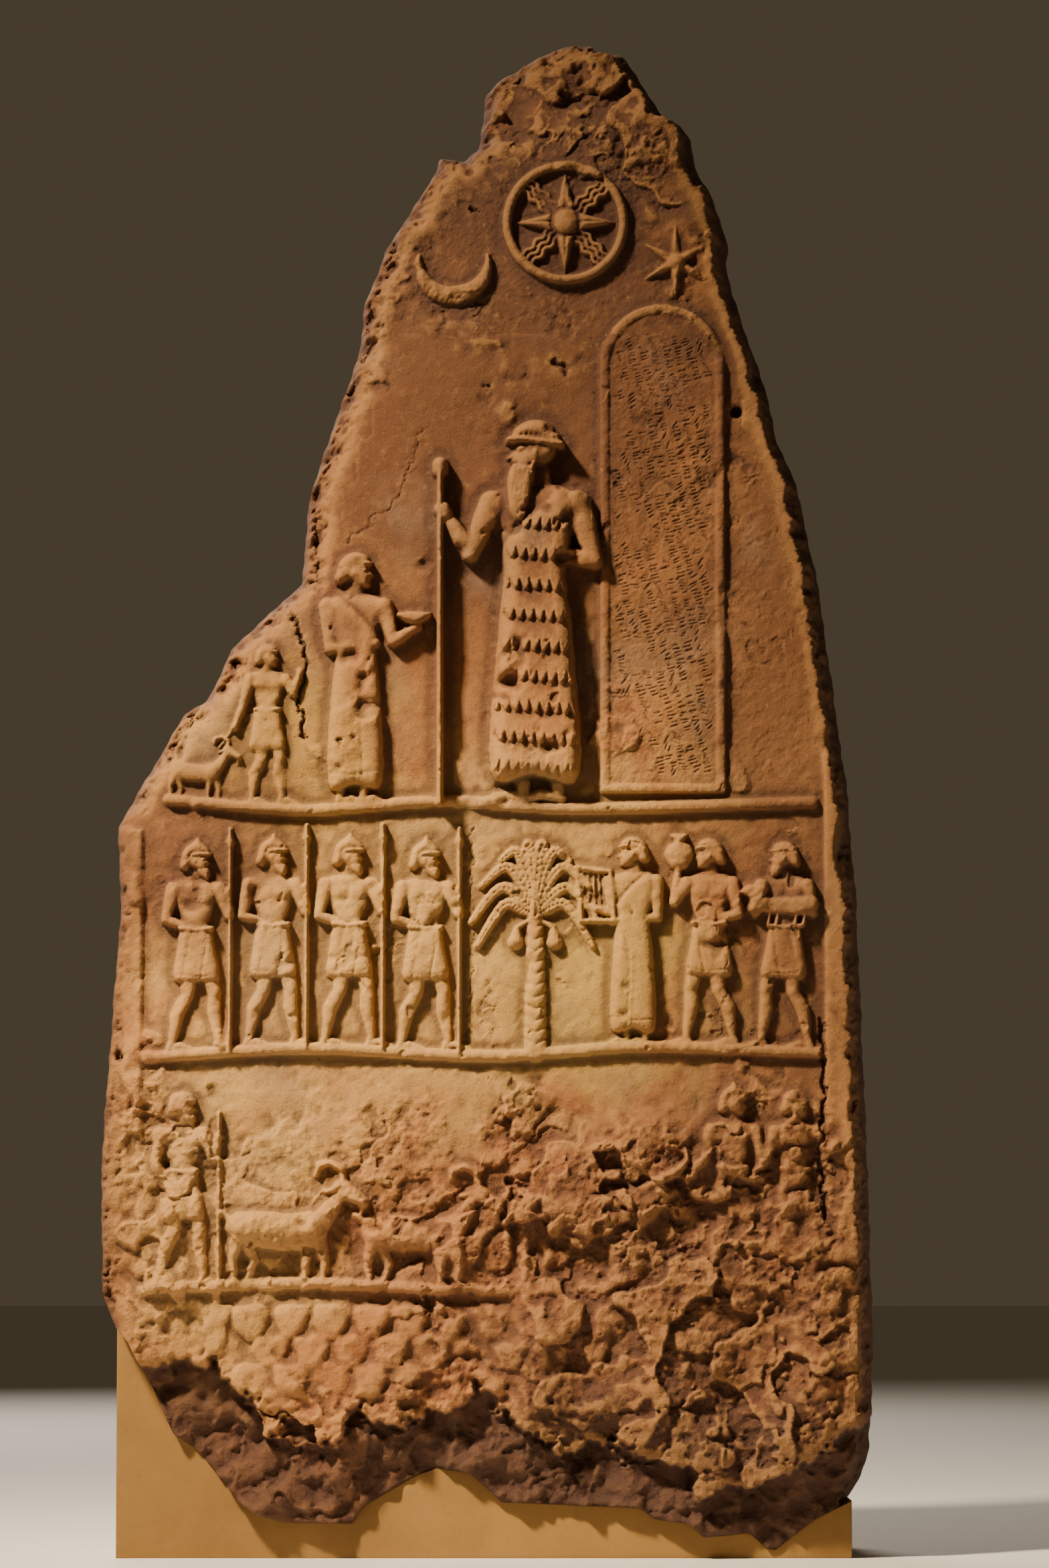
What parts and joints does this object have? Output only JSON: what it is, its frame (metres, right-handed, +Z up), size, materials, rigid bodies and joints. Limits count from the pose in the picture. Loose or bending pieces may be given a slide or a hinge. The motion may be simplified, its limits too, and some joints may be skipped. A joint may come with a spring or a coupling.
{
  "type": "carved stone stele",
  "caption": "Tall broken stone slab carved in low relief with rows of figures, signs and an inscribed panel, seated in a cast block shaped to its broken foot.",
  "frame": {"origin": "centre of the support block's underside as seen from the front, on the middle plane of the stone", "axes": "+Z up, -Y out of the carved face, +X to the viewer's right"},
  "size_m": [1.014, 0.3321, 2.012],
  "materials": {
    "sandstone": "matte, worn and stained",
    "cast_filler": "matte plaster"
  },
  "bodies": {
    "root": {"stone": "sandstone", "support_block": "cast_filler"}
  },
  "joints": []
}
